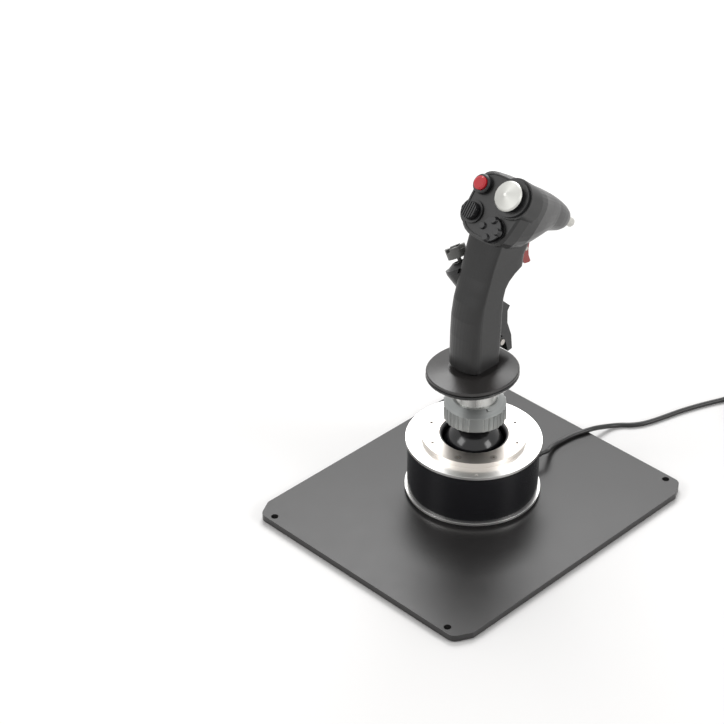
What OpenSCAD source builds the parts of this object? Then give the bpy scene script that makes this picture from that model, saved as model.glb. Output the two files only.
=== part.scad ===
// Flight joystick: a metal pistol grip on a two-axis gimbal, in a round can on a desk plate.
// The origin is the middle of the plate, on the desk. +Y points away from the user, +Z up.

/* [Desk plate] */
// Width of the plate
plate_w = 217; // [200:1:240]
// Depth of the plate
plate_d = 262; // [245:1:285]
// Thickness of the plate
plate_t = 5.3; // [3:0.1:8]
// Length cut off each corner along the side edge
plate_cut_side = 14.3; // [12:0.1:17]
// Length cut off each corner along the near or far edge
plate_cut_end = 7.5; // [6:0.1:10]
// Diameter of the corner holes
plate_hole_d = 5.6; // [4:0.1:6.4]
// Corner hole centre to the side edge
plate_hole_side = 17.2; // [15:0.1:22]
// Corner hole centre to the near or far edge
plate_hole_end = 5.4; // [4.8:0.1:9]
// Height of the rubber feet
foot_h = 1.2; // [1:0.1:5]
// Radius of the rubber feet
foot_r = 9; // [6:0.5:11]

/* [Base can] */
// Stick axis to the right of the plate's middle
axis_x = -9.5; // [-14:0.5:10]
// Stick axis behind the plate's middle
axis_y = 9.8; // [0:0.2:14]
// Outer radius of the can
can_r = 51.3; // [50.5:0.1:53]
// Wall of the can
can_wall = 2.5; // [2:0.1:3]
// Height of the can
can_h = 41.5; // [40:0.5:50]
// Height of the rubber gasket under the ledge
gasket_h = 2.5; // [1.5:0.5:4]
// How far the ledge under the can and the ring on it stand out from the can
ledge_out = 1.7; // [1:0.1:4]
// Thickness of the ledge
ledge_t = 2.1; // [1.5:0.1:4]
// Thickness of the ring on the can
ring_t = 2.4; // [2:0.1:4]
// Radius of the raised disc
disc_r = 40.8; // [40:0.1:42]
// Thickness of the raised disc
disc_t = 4.1; // [3.5:0.1:5]
// Radius of the opening round the stick
opening_r = 26.8; // [26.5:0.1:28]
// Radius of the circle of disc screws
screw_circle_r = 35.1; // [34:0.1:36]

/* [Stick] */
// Height of the pivot below the disc's top
pivot_depth = 13.1; // [12.5:0.1:14]
// Radius of the dust dome
dome_r = 24; // [23.5:0.1:24.3]
// Height of the locking collar's lower face above the pivot
collar_rise = 29; // [28.5:0.5:34]
// Radius of the locking collar
collar_r = 24.6; // [22:0.1:26]
// Height of the collar's ribbed band
collar_band_h = 12; // [8:0.5:15]
// Number of ribs round the collar
collar_ribs = 36; // [24:1:44]
// Radius of the threaded ferrule
ferrule_r = 16.5; // [15:0.1:18]

/* [Hand rest] */
// Height of the hand rest's lower face above the pivot
rest_rise = 68.5; // [66:0.5:76]
// Half width of the hand rest
rest_half_w = 33.6; // [30:0.1:38]
// Half depth of the hand rest
rest_half_d = 36.8; // [32:0.1:40]
// Height of the lower lip
lip_h = 3.6; // [2.5:0.1:5]
// Height of the upper plate's edge
rest_h = 2.8; // [2:0.1:4]
// Rise from the plate's edge to its middle
rest_crown = 2.6; // [1:0.1:4]

/* [Grip] */
// Half width of the handle
handle_half_w = 15; // [14.5:0.1:16]
// Wall of the grip shells
shell_wall = 2.6; // [2.2:0.1:3]
// Half width of the control face
face_half_w = 27.3; // [26.8:0.1:29]
// Tilt of the control face from upright
face_tilt = 39; // [37:0.5:41]
// Width of the trigger
trigger_w = 9; // [7:0.5:10]
// Width of the paddle
paddle_w = 15; // [11:0.5:16]
// Radius of the red button
red_r = 5.3; // [4.5:0.1:6]
// Travel of the red button
red_travel = 2.5; // [1.5:0.1:3]
// Radius of the nose button
nose_button_r = 3.7; // [3:0.1:4.2]
// Travel of the nose button
nose_travel = 2; // [1:0.1:2.5]

/* [Thumb hats] */
// Radius of the trim hat
trim_r = 11.5; // [10:0.1:12.5]
// Radius of the left hat
left_r = 7.5; // [6.5:0.1:8.5]
// Radius of the lower hat
lower_r = 10.2; // [9:0.1:10.5]
// Radius of the side hat
side_r = 8; // [7:0.1:9]
// Radius of a hat's stalk
stalk_r = 1.6; // [1.4:0.1:1.8]

/* [Cord] */
// Diameter of the cord
cord_d = 4; // [3.6:0.1:4.2]

/* [Hidden] */
$fn = 64;

fit = 0.05;       // radial clearance of a running fit
seat = 0.1;       // clearance of a piece that drops into a seat
gap = 0.3;        // clearance between pieces that pass each other
over = 1;         // how far a cut runs past a face

// Heights of the base, from the desk up
plate_z0 = foot_h;
plate_z1 = plate_z0 + plate_t;
gasket_z1 = plate_z1 + gasket_h;
ledge_z1 = gasket_z1 + ledge_t;
can_z1 = ledge_z1 + can_h;
ring_z1 = can_z1 + ring_t;
disc_z1 = ring_z1 + disc_t;
pivot_z = disc_z1 - pivot_depth;

ledge_r = can_r + ledge_out;
can_in_r = can_r - can_wall;
floor_r = can_in_r - 5.3;
plate_screw_r = floor_r - 5.5;
plate_screw_z1 = ledge_z1 - 0.6;

// Top ring, disc and bezel
set_screw_r = can_in_r + 1;
ring_in_r = opening_r + 2.6;
bezel_wall = 2;
bezel_in_r = opening_r - seat - bezel_wall;
bezel_flange_t = 1.6;
disc_screw_n = 8;
disc_screw_l = 9;

// Gimbal
frame_disc_r = 26;
frame_disc_t = 4;
frame_z1 = ledge_z1 + frame_disc_t;
ring_r = 15;
ring_wall = 3.8;
ring_h = 8;
post_x0 = ring_r + 1.5;
post_t = 3.8;
post_half_d = 4.5;
pin_r = 2.5;
bush_r = 3;
roll_pin_r = 2;
hub_r = 9;
shaft_r = 7;
foot_ball_r = 20;
foot_half_angle = 30;
magnet_r = 4;
magnet_h = 2.6;
spring_mean_r = 13.5;
spring_wire = 1.8;
spring_turns = 4;
cup_z0 = pivot_z - foot_ball_r - 1;
pedestal_r = 5;
sensor_z0 = cup_z0 - 4;
board_t = 1.6;

// Stick above the dome
neck_r = 9.6;
dome_wall = 1.4;
neck_z1 = pivot_z + collar_rise - 1;
collar_z0 = pivot_z + collar_rise;
collar_lip_t = 3;
shaft_head_r = ferrule_r - 3.6;
flange_z0 = collar_z0 + collar_lip_t + fit;
flange_z1 = flange_z0 + 3;
collar_band_z1 = collar_z0 + 1.2 + collar_band_h;
collar_z1 = collar_band_z1 + 4.8;
socket_r = 8;
socket_in = 4.5;
ferrule_in_r = ferrule_r - 4.5;
spigot_r = 7.5;
spigot_bore_r = 5;

// Hand rest
rest_y = -4;
lip_z0 = pivot_z + rest_rise;
lip_z1 = lip_z0 + lip_h;
rest_z1 = lip_z1 + rest_h;
crown_z = rest_z1 + rest_crown;
ferrule_z1 = rest_z1 - 1;
spigot_z1 = crown_z + 22;

// Grip: heights are measured from the hand rest's crown
handle_z0 = crown_z;
face_y = 16.3;
face_z = crown_z + 128.5;
face_t = 2.6;
face_set = 0.6;     // how far the face plate is set back
trim_at = [10.7, 10.3];
trim_pad_r = trim_r + 3.9;
pad_h = 1.5;
red_at = [-19.5, 10.8];
left_at = [-17.6, -10.2];
lower_at = [6.4, -16.4];
nose_v = 17;
nose_w = 81;
red_bezel_r = red_r + 2.1;
side_at = [-19.9, 4, crown_z + 72.9];
side_tilt = 31.5;
face_lean = 5;
face_flare = 0.14;
face_lean_depth = 60;
left_boss_r = left_r + 3.2;
side_boss_r = side_r + 5;

trigger_pivot = [36, crown_z + 91];
trigger_pin_r = 1.5;
paddle_pivot = [15, crown_z + 17.5];
paddle_pin_r = 1.5;
ear_t = 3.2;
shell_screw_at = [[5, crown_z + 42], [5, crown_z + 12], [42, crown_z + 112]];
screw_sink = 3.4;
grip_board_z0 = crown_z + 30;
grip_board_h = 46;
grip_board_y = -4;

// Micro gimbal under each hat
hat_pivot_w = 5;
hat_ring_r = 4.3;
hat_ring_in_r = 3;
hat_ring_h = 2.4;
hat_pin_r = 0.8;
cup_in_r = 5.1;
cup_r = 6.3;
cup_w1 = 11;

// Cord route: points chosen by hand from the gland to the coil, then from the coil to the plug
gland_angle = 73;
gland_z = 18;
gland_l = 11;
route = [[9.3, 77.6, 16.6], [6.8, 82, 14.2], [4.4, 86.5, 12], [2.6, 91.5, 10.2], [1.6, 97.5, 9.1],
    [1.7, 104, 8.7], [2.4, 112, 8.7], [4.1, 121, 8.7], [6.8, 129.8, 8.7], [8.6, 137.5, 7.9], [9.6, 146, 5.4],
    [11.6, 155, 3], [15.8, 162.6, 2.1], [21.6, 168.6, 2.1], [26.4, 175.6, 2.1], [29.9, 184, 2.1],
    [32.6, 193, 2.1], [35.2, 203, 2.1], [37.9, 213, 2.1], [41.2, 223, 2.1], [45.3, 234, 2.1],
    [50, 245, 2.2], [55, 256.5, 2.4], [60.4, 267.8, 2.6]];
tail = [[128.6, 246.6, 6.6], [126.8, 240.4, 5.5], [125.8, 234.6, 4.7], [125.5, 229.4, 4.5], [125.5, 225.4, 4.5]];
coil_at = [100, 268.8];
coil_in_r = 12.6;
coil_pitch = 4.5;
coil_layer_turns = 5;
coil_r = coil_in_r + coil_pitch * coil_layer_turns;
coil_start = 155.2;
coil_z = 2.6;

// ---- outlines and lofts ----
function unit(v) = v / norm(v);
function fillet(p, before, after, r, n) =
    let (u = unit(before - p), v = unit(after - p), half = acos(u * v) / 2,
        c = p + unit(u + v) * r / sin(half),
        s = p + u * r / tan(half) - c, e = p + v * r / tan(half) - c,
        a0 = atan2(s.y, s.x), turn = (atan2(e.y, e.x) - a0 + 540) % 360 - 180)
    [for (i = [0 : n]) c + r * [cos(a0 + turn * i / n), sin(a0 + turn * i / n)]];
function rounded(pts, r, n = 5) = let (m = len(pts))
    [for (i = [0 : m - 1]) each fillet(pts[i], pts[(i + m - 1) % m], pts[(i + 1) % m], r[i % len(r)], n)];

function lobe(c, n) = sign(c) * pow(abs(c), 2 / n);
// One closed section: half width a, reach up and down from mid, with an exponent for each
function section(a, mid, up, down, n_up, n_down, z, n = 32) =
    [for (k = [0 : n - 1]) let (c = cos(360 * k / n), s = sin(360 * k / n))
        s >= 0 ? [a * lobe(c, n_up), mid + up * lobe(s, n_up), z]
            : [a * lobe(c, n_down), mid + down * lobe(s, n_down), z]];

module loft(rings) {
    n = len(rings[0]);
    m = len(rings);
    polyhedron(points = [for (r = rings) each r],
        faces = concat([[for (k = [0 : n - 1]) k]], [[for (k = [0 : n - 1]) m * n - 1 - k]],
            [for (j = [0 : m - 2], k = [0 : n - 1])
                let (a = j * n + k, b = j * n + (k + 1) % n) each [[a, a + n, b + n], [a, b + n, b]]]));
}

// A round tube swept along points, with its rings square to the path
function along(pts, i) = unit(pts[min(i + 1, len(pts) - 1)] - pts[max(i - 1, 0)]);
function tube_ring(p, d, r, sides, lead) =
    let (u = unit(cross(d, lead)), v = cross(u, d))
    [for (k = [0 : sides - 1]) p + r * (cos(360 * k / sides) * u - sin(360 * k / sides) * v)];
module tube(pts, d, sides, lead = [0, 0, 1])
    loft([for (i = [0 : len(pts) - 1]) tube_ring(pts[i], along(pts, i), d / 2, sides, lead)]);

module ring(r_out, r_in, h) difference() {
    cylinder(h = h, r = r_out);
    translate([0, 0, -over]) cylinder(h = h + 2 * over, r = r_in);
}
module on_axis() translate([axis_x, axis_y, 0]) children();
module around(n, r, start = 0)
    for (i = [0 : n - 1]) rotate(start + i * 360 / n) translate([r, 0, 0]) children();
module countersunk(r, head_r, l) {
    cylinder(h = l, r = r);
    translate([0, 0, l - (head_r - r)]) cylinder(h = head_r - r, r1 = r, r2 = head_r);
}

// ---- base ----
hole_x = plate_w / 2 - plate_hole_side;
hole_y = plate_d / 2 - plate_hole_end;
function plate_outline(w, d, c, e) = [[w, c - d], [w, d - c], [w - e, d], [e - w, d], [-w, d - c], [-w, c - d],
    [e - w, -d], [w - e, -d]];
plate_screw_head = 4;
plate_screw_shank = 2;

module base_plate() color([0.13, 0.12, 0.12]) difference() {
    translate([0, 0, plate_z0]) linear_extrude(plate_t)
        polygon(rounded(plate_outline(plate_w / 2, plate_d / 2, plate_cut_side, plate_cut_end), [3, 3, 7, 7]));
    for (x = [-hole_x, hole_x], y = [-hole_y, hole_y])
        translate([x, y, plate_z0 - over]) cylinder(h = plate_t + 2 * over, d = plate_hole_d);
    on_axis() around(4, plate_screw_r, 45) {
        translate([0, 0, plate_z0 - over]) cylinder(h = plate_t + 2 * over, r = plate_screw_shank + seat);
        translate([0, 0, plate_z0 - over])
            cylinder(h = over + plate_screw_head - plate_screw_shank + seat, r = plate_screw_head + seat);
    }
}

module rubber_feet() color([0.06, 0.06, 0.06])
    for (x = [-1, 1], y = [-1, 0, 1])
        translate([x * (hole_x - 3.4), y * (hole_y - foot_r - 8.4), 0]) cylinder(h = foot_h, r = foot_r);

module plate_screws() color([0.2, 0.2, 0.21]) on_axis() around(4, plate_screw_r, 45)
    translate([0, 0, plate_z0 + 0.3]) {
        cylinder(h = plate_screw_z1 - plate_z0 - 0.3, r = plate_screw_shank);
        cylinder(h = plate_screw_head - plate_screw_shank - 0.3, r = plate_screw_head);
    }

module base_gasket() color([0.04, 0.04, 0.04]) on_axis() translate([0, 0, plate_z1])
    ring(can_r + 0.9, floor_r + 0.3, gasket_h);

frame_screw_r = 22;
board_at = [0, 12.8 - can_in_r];
board_half = [20, 7];
board_boss_x = 16;
board_z0 = ledge_z1 + 5;
inner_screw_r = 1.5;
module ledge_floor() color([0.78, 0.78, 0.76]) on_axis() difference() {
    union() {
        translate([0, 0, plate_z1]) cylinder(h = ledge_z1 - plate_z1, r = floor_r);
        translate([0, 0, gasket_z1]) cylinder(h = ledge_t, r = ledge_r);
        for (x = [-board_boss_x, board_boss_x])
            translate([x, board_at.y, ledge_z1]) cylinder(h = board_z0 - ledge_z1, r = 3);
    }
    around(4, plate_screw_r, 45) translate([0, 0, plate_z1 - over])
        cylinder(h = plate_screw_z1 - plate_z1 + over, r = plate_screw_shank + fit);
    around(4, frame_screw_r, 45) translate([0, 0, plate_z1 + 1])
        cylinder(h = ledge_z1 - plate_z1, r = inner_screw_r + fit);
    for (x = [-board_boss_x, board_boss_x])
        translate([x, board_at.y, plate_z1 + 1]) cylinder(h = board_z0 - plate_z1, r = inner_screw_r + fit);
}

module at_gland() on_axis() rotate(gland_angle) translate([0, 0, gland_z]) rotate([0, 90, 0]) children();
gland_r = 3.4;
module base_can() color([0.05, 0.05, 0.055]) difference() {
    on_axis() translate([0, 0, ledge_z1]) ring(can_r, can_in_r, can_h);
    at_gland() translate([0, 0, can_in_r - 3]) cylinder(h = can_wall + 6, r = gland_r + seat);
}

module top_ring() color([0.85, 0.85, 0.83]) on_axis() difference() {
    union() {
        translate([0, 0, can_z1]) cylinder(h = ring_t, r = ledge_r);
        translate([0, 0, can_z1 - 4]) cylinder(h = 4 + over, r = can_in_r - seat);
    }
    difference() {
        translate([0, 0, can_z1 - 4 - over]) cylinder(h = 4 + over, r = can_in_r - 3.5);
        translate([0, 0, can_z1 - 5]) ring(disc_r - 1.8, ring_in_r, 6 + over);
    }
    translate([0, 0, can_z1 - 6]) cylinder(h = 12, r = ring_in_r);
    around(4, set_screw_r, 45) translate([0, 0, can_z1 - over]) cylinder(h = 6, r = 0.9);
    around(disc_screw_n, screw_circle_r, 22.5)
        translate([0, 0, can_z1 - 6]) cylinder(h = 12, r = inner_screw_r + fit);
}

disc_head_r = 2.9;
module top_disc() color([0.8, 0.79, 0.76]) on_axis() difference() {
    translate([0, 0, ring_z1]) ring(disc_r, opening_r, disc_t);
    around(disc_screw_n, screw_circle_r, 22.5) {
        translate([0, 0, ring_z1 - over]) cylinder(h = disc_t + 2 * over, r = inner_screw_r + seat);
        translate([0, 0, disc_z1 - disc_head_r + inner_screw_r])
            cylinder(h = disc_head_r - inner_screw_r + seat, r1 = inner_screw_r + seat, r2 = disc_head_r + 2 * seat);
    }
}

module top_screws() color([0.6, 0.58, 0.55]) on_axis() {
    around(disc_screw_n, screw_circle_r, 22.5) difference() {
        translate([0, 0, disc_z1 - disc_screw_l]) countersunk(inner_screw_r, disc_head_r, disc_screw_l);
        translate([0, 0, disc_z1 - 1.4]) cylinder(h = 3, r = 1.15, $fn = 6);
    }
    around(4, set_screw_r, 45) translate([0, 0, can_z1 + fit]) cylinder(h = ring_t - 0.4, r = 0.9 - fit);
}

module opening_bezel() color([0.05, 0.05, 0.05]) on_axis() translate([0, 0, ring_z1 - bezel_flange_t])
    difference() {
        union() {
            cylinder(h = bezel_flange_t, r = ring_in_r - seat);
            cylinder(h = bezel_flange_t + disc_t - 0.7, r = opening_r - seat);
        }
        translate([0, 0, -over]) cylinder(h = 12, r = bezel_in_r);
        translate([0, 0, bezel_flange_t + disc_t - 1.9]) cylinder(h = 2, r1 = bezel_in_r, r2 = bezel_in_r + 1.6);
    }

// ---- gimbal ----
module gimbal_frame() color([0.35, 0.36, 0.37]) on_axis() difference() {
    union() {
        translate([0, 0, ledge_z1]) cylinder(h = frame_disc_t, r = frame_disc_r);
        translate([0, 0, ledge_z1]) cylinder(h = sensor_z0 - ledge_z1, r = pedestal_r);
        for (s = [-1, 1]) translate([s * (post_x0 + post_t / 2), 0, (ledge_z1 + pivot_z + post_half_d) / 2])
            cube([post_t, 2 * post_half_d, pivot_z + post_half_d - ledge_z1], center = true);
    }
    translate([0, 0, pivot_z]) rotate([0, 90, 0])
        cylinder(h = 2 * (post_x0 + post_t + over), r = bush_r + fit, center = true);
    around(4, frame_screw_r, 45) translate([0, 0, ledge_z1 - over])
        cylinder(h = frame_disc_t + 2 * over, r = inner_screw_r + seat);
}

module frame_bushes() color([0.7, 0.55, 0.25]) on_axis() translate([0, 0, pivot_z])
    for (s = [-1, 1]) rotate([0, s * 90, 0]) translate([0, 0, post_x0]) ring(bush_r, pin_r + fit, post_t);

spring_pitch = (cup_z0 - frame_z1 - spring_wire - 2 * fit) / spring_turns;
spring_rings = 10;
module centring_spring() color([0.6, 0.6, 0.62]) on_axis() translate([0, 0, frame_z1 + spring_wire / 2 + fit])
    tube([for (i = [0 : spring_turns * spring_rings]) let (a = i * 360 / spring_rings)
        [spring_mean_r * cos(a), spring_mean_r * sin(a), spring_pitch * i / spring_rings]], spring_wire, 6);

// The cup's seat follows the ball foot's sphere, a gap away
function ball_z(r) = pivot_z - sqrt(pow(foot_ball_r + gap, 2) - r * r);
module spring_cup() color([0.5, 0.5, 0.5]) on_axis() rotate_extrude()
    polygon([[7.6, cup_z0], [ring_r, cup_z0], [ring_r, cup_z0 + 2], [12.2, cup_z0 + 4],
        [10.6, ball_z(10.6)], [9, ball_z(9)], [7.6, ball_z(7.6)]]);

module sensor_board() color([0.05, 0.25, 0.1]) on_axis() translate([0, 0, sensor_z0]) {
    cylinder(h = board_t, r = 9);
    translate([-2.5, -2.5, board_t]) cube([5, 5, 1.2]);
}

module main_board() color([0.05, 0.3, 0.12]) on_axis() translate([board_at.x, board_at.y, board_z0])
    difference() {
        union() {
            translate([-board_half.x, -board_half.y, 0]) cube([2 * board_half.x, 2 * board_half.y, board_t]);
            translate([-5, -3.5, board_t]) cube([7, 7, 1.4]);
            translate([6, -2, board_t]) cube([6, 8, 5]);
            translate([-11.5, -3, board_t]) cylinder(h = 6, r = 2.5);
        }
        for (x = [-board_boss_x, board_boss_x])
            translate([x, 0, -over]) cylinder(h = 4, r = inner_screw_r + seat);
    }

module inner_screws() color([0.55, 0.55, 0.56]) on_axis() {
    around(4, frame_screw_r, 45) {
        translate([0, 0, plate_z1 + 1.2]) cylinder(h = frame_z1 - plate_z1 - 1.2, r = inner_screw_r);
        translate([0, 0, frame_z1]) cylinder(h = 1.9, r = 2.8);
    }
    for (x = [-board_boss_x, board_boss_x]) translate([x, board_at.y, 0]) {
        translate([0, 0, board_z0 - 5]) cylinder(h = board_t + 5, r = inner_screw_r);
        translate([0, 0, board_z0 + board_t]) cylinder(h = 1.6, r = 2.6);
    }
}

module gimbal_ring() color([0.55, 0.56, 0.58]) on_axis() translate([0, 0, pivot_z]) difference() {
    union() {
        translate([0, 0, -ring_h / 2]) cylinder(h = ring_h, r = ring_r);
        rotate([0, 90, 0]) cylinder(h = 2 * (post_x0 + post_t - 0.4), r = pin_r, center = true);
    }
    translate([0, 0, -ring_h]) cylinder(h = 2 * ring_h, r = ring_r - ring_wall);
    rotate([90, 0, 0]) cylinder(h = 3 * ring_r, r = roll_pin_r + fit, center = true);
}

module roll_pin() color([0.7, 0.7, 0.72]) on_axis() translate([0, 0, pivot_z]) rotate([90, 0, 0])
    cylinder(h = 2 * (ring_r - 0.4), r = roll_pin_r, center = true);

foot_z = pivot_z - foot_ball_r * cos(foot_half_angle);
module stick_shaft() color([0.45, 0.46, 0.47]) on_axis() difference() {
    union() {
        translate([0, 0, pivot_z]) sphere(r = hub_r);
        translate([0, 0, pivot_z]) cylinder(h = neck_z1 - pivot_z, r = shaft_r);
        translate([0, 0, neck_z1]) cylinder(h = flange_z0 - neck_z1, r = shaft_head_r - fit);
        translate([0, 0, flange_z0]) cylinder(h = flange_z1 - flange_z0, r = ferrule_r - 0.6);
        translate([0, 0, foot_z]) cylinder(h = pivot_z - foot_z, r = 4.5);
        intersection() {
            translate([0, 0, pivot_z]) sphere(r = foot_ball_r);
            translate([0, 0, pivot_z - foot_ball_r - over])
                cylinder(h = foot_z - pivot_z + foot_ball_r + over + 1.5, r = foot_ball_r * sin(foot_half_angle));
        }
    }
    translate([0, 0, pivot_z]) rotate([90, 0, 0]) cylinder(h = 3 * hub_r, r = roll_pin_r + fit, center = true);
    translate([0, 0, pivot_z - foot_ball_r - over]) cylinder(h = over + 0.5 + magnet_h + fit, r = magnet_r + fit);
    translate([0, 0, flange_z1 - socket_in]) cylinder(h = socket_in + over, r = socket_r + fit);
    translate([0, 0, pivot_z + 12]) cylinder(h = 40, r = 3);
}

module sensor_magnet() color([0.75, 0.75, 0.78]) on_axis() translate([0, 0, pivot_z - foot_ball_r + 0.5])
    cylinder(h = magnet_h, r = magnet_r);

dome_rim = 80;
module dust_dome() color([0.03, 0.03, 0.035]) on_axis() difference() {
    union() {
        translate([0, 0, pivot_z]) sphere(r = dome_r);
        translate([0, 0, pivot_z]) cylinder(h = neck_z1 - pivot_z, r = neck_r);
    }
    translate([0, 0, pivot_z]) sphere(r = dome_r - dome_wall);
    translate([0, 0, pivot_z - dome_r - over])
        cylinder(h = dome_r + over + dome_r * cos(dome_rim), r = dome_r + over);
    cylinder(h = neck_z1 + over, r = shaft_r + fit);
}

module connector_pins(r, z0, z1) around(5, 4.5) translate([0, 0, z0]) cylinder(h = z1 - z0, r = r);
module connector_socket() color([0.12, 0.12, 0.12]) on_axis() {
    translate([0, 0, flange_z1 - socket_in + fit]) cylinder(h = socket_in + 3 - fit, r = socket_r);
    connector_pins(0.6, flange_z1 + 3 - over, flange_z1 + 9);
}
module connector_plug() color([0.2, 0.2, 0.2]) on_axis() difference() {
    translate([0, 0, flange_z1 + 3]) cylinder(h = 12, r = ferrule_in_r - fit);
    connector_pins(0.75, flange_z1 + 3 - over, flange_z1 + 9.5);
}

// ---- collar, ferrule and hand rest ----
module locking_collar() color([0.36, 0.38, 0.37]) on_axis() difference() {
    union() {
        translate([0, 0, collar_z0]) cylinder(h = 1.2, r1 = collar_r - 1.6, r2 = collar_r - 0.7);
        translate([0, 0, collar_z0 + 1.2]) cylinder(h = collar_band_h, r = collar_r - 0.7);
        translate([0, 0, collar_band_z1])
            cylinder(h = collar_z1 - collar_band_z1, r1 = collar_r - 0.7, r2 = ferrule_r + 1.4);
        around(collar_ribs, collar_r - 0.9) translate([0, 0, collar_z0 + 1.2]) cylinder(h = collar_band_h, r = 0.9, $fn = 16);
    }
    translate([0, 0, collar_z0 - over]) cylinder(h = 40, r = shaft_head_r + fit);
    translate([0, 0, collar_z0 + collar_lip_t]) cylinder(h = 40, r = ferrule_r + fit);
    rotate(-20) translate([ferrule_r + 1.6, -0.5, collar_z1 - 2]) cube([6, 1, 4]);
    rotate(-20) translate([ferrule_r + 3, -0.5, collar_z1 - 2]) cube([1.2, 5, 4]);
}

module ferrule() color([0.75, 0.75, 0.73]) on_axis() difference() {
    union() {
        translate([0, 0, flange_z1]) cylinder(h = ferrule_z1 - flange_z1, r = ferrule_r - fit);
        translate([0, 0, flange_z1]) cylinder(h = spigot_z1 - flange_z1, r = spigot_r);
    }
    translate([0, 0, flange_z1 - over]) cylinder(h = 16 + over, r = ferrule_in_r);
    translate([0, 0, flange_z1]) cylinder(h = 90, r = spigot_bore_r);
    translate([0, shell_screw_at[1][0], shell_screw_at[1][1]]) rotate([0, 90, 0])
        cylinder(h = 30, r = inner_screw_r + seat, center = true);
}

function rest_ring(inset, z) = section(rest_half_w - inset, rest_y, rest_half_d - inset, rest_half_d - inset,
    2.1, 2.1, z, 48);
module hand_rest_lip() color([0.06, 0.06, 0.06]) on_axis() difference() {
    loft([rest_ring(2.2, lip_z0), rest_ring(0.6, lip_z0 + 1), rest_ring(0, lip_z0 + 2),
        rest_ring(0.5, lip_z1 - 0.6), rest_ring(1.4, lip_z1)]);
    translate([0, 0, lip_z0 - over]) cylinder(h = 20, r = ferrule_r + seat);
}
module hand_rest_plate() color([0.5, 0.48, 0.46]) on_axis() difference() {
    loft([rest_ring(1.2, lip_z1), rest_ring(0.2, lip_z1 + 1), rest_ring(0.2, rest_z1 - 0.7),
        rest_ring(1, rest_z1), rest_ring(14, crown_z - 0.4), rest_ring(16.5, crown_z)]);
    translate([0, 0, lip_z1 - over]) cylinder(h = ferrule_z1 - lip_z1 + over + fit, r = ferrule_r + seat);
    translate([0, 0, lip_z1]) cylinder(h = 20, r = spigot_r + seat);
}

// ---- grip shells ----
// Height above the crown, half width less than the handle's, front, side corner and back
handle_rows = [[0, -3.2, -17.2, -10, 7.4], [2.4, -2.6, -18, -10.6, 8.2], [3.4, 0, -20.4, -11.2, 10.2],
    [16, 0, -20.6, -11.4, 10.9], [31, 0, -20.3, -11.7, 11.5], [46, 0, -18.8, -11.6, 11.9],
    [59, 0, -15.6, -10, 12.8], [66, 0, -12.8, -8, 14.8], [71, 0, -11, -6.6, 18.8],
    [75, 0, -9.4, -5.4, 25], [78.4, 0, -8, -4.2, 32.8], [88, 0, -4.6, -1, 34.2], [98, 0.5, -1, 2.6, 40],
    [108, 1, 2.4, 7, 48], [120, 1, 12, 20, 44]];
function handle_ring(row, wall, z) = let (w = handle_half_w + row[1] - wall)
    section(w, row[3], row[4] - row[3] - wall, row[3] - row[2] - wall, 12, 2.2, z);
// Depth behind the face, half width less than the face's, top, bottom and roundness
head_rows = [[0, -1.5, 22.8, -25.6, 4], [1.6, 0, 24.4, -27, 4], [12, 0, 25.8, -26.4, 3.6], [26, -2.3, 27, -22.6, 3.2],
    [40, -6.8, 27.9, -15.4, 2.8], [46, -8.9, 28.1, -10.6, 2.7], [52, -11, 28.1, -5.4, 2.6], [57, -12.6, 28, -1.6, 2.4],
    [62, -13.7, 27.8, 1, 2.3], [68, -14.9, 27.4, 2.8, 2.2], [75, -16.6, 26.4, 4.8, 2.2], [nose_w, -18.7, 24.8, 7.6, 2.2]];
// The right side leans: it is narrower than the left near the face, most so at the bottom
function head_lean(depth, v) = max(0, 1 - depth / face_lean_depth) * (face_lean - face_flare * v);
function head_ring(row, wall) = let (mid = (row[2] + row[3]) / 2, half = (row[2] - row[3]) / 2 - wall,
        a = face_half_w + row[1] - wall)
    [for (k = [0 : 31]) let (c = cos(360 * k / 32), s = sin(360 * k / 32),
            n = s >= 0 ? row[4] : max(2.4, c < 0 ? 3 - row[0] / 60 : 5 - row[0] / 14), v = mid + half * lobe(s, n))
        [lobe(c, n) * (c < 0 ? a : a - head_lean(row[0], v)), v, -row[0]]];
function backward(rows) = [for (i = [len(rows) - 1 : -1 : 0]) rows[i]];

module in_head() translate([0, face_y, face_z]) rotate([-face_tilt, 0, 0]) children();
// Turns a shape drawn up +Z with its top at z = 0 into the face, where depth runs along +Y
module into_face() in_head() rotate([90, 0, 0]) children();
module face_at(p) into_face() translate([p.x, p.y, 0]) children();
module on_side() translate(side_at) rotate([0, -side_tilt, 0]) children();

module grip_outside() {
    loft([for (row = handle_rows) handle_ring(row, 0, handle_z0 + row[0])]);
    into_face() loft([for (row = backward(head_rows)) head_ring(row, 0)]);
    face_at(trim_at) translate([0, 0, -14]) cylinder(h = 14 + pad_h, r = trim_pad_r + 0.6);
    face_at(left_at) translate([0, 0, -20]) cylinder(h = 20, r1 = 7, r2 = left_boss_r);
    for (s = [-1, 1]) translate([s * (paddle_w / 2 + gap + ear_t / 2), paddle_pivot[0], paddle_pivot[1]])
        rotate([0, 90, 0]) cylinder(h = ear_t, r = 4.2, center = true);
    for (s = [-1, 1]) translate([s * (paddle_w / 2 + gap + ear_t / 2), paddle_pivot[0] - 4.5, paddle_pivot[1]])
        cube([ear_t, 9, 8.4], center = true);
}
module grip_inside() {
    loft([for (row = handle_rows) handle_ring(row, shell_wall, handle_z0 + row[0]
        + (row[0] == 0 ? -over : 0))]);
    into_face() loft([for (row = backward(head_rows)) head_ring(row, shell_wall)]);
}
function face_outline(inset) = [for (p = head_ring(head_rows[1], inset)) [p.x, p.y]];
module face_shape(inset) {
    polygon(face_outline(inset));
    translate(left_at) circle(left_boss_r - inset);
}

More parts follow.
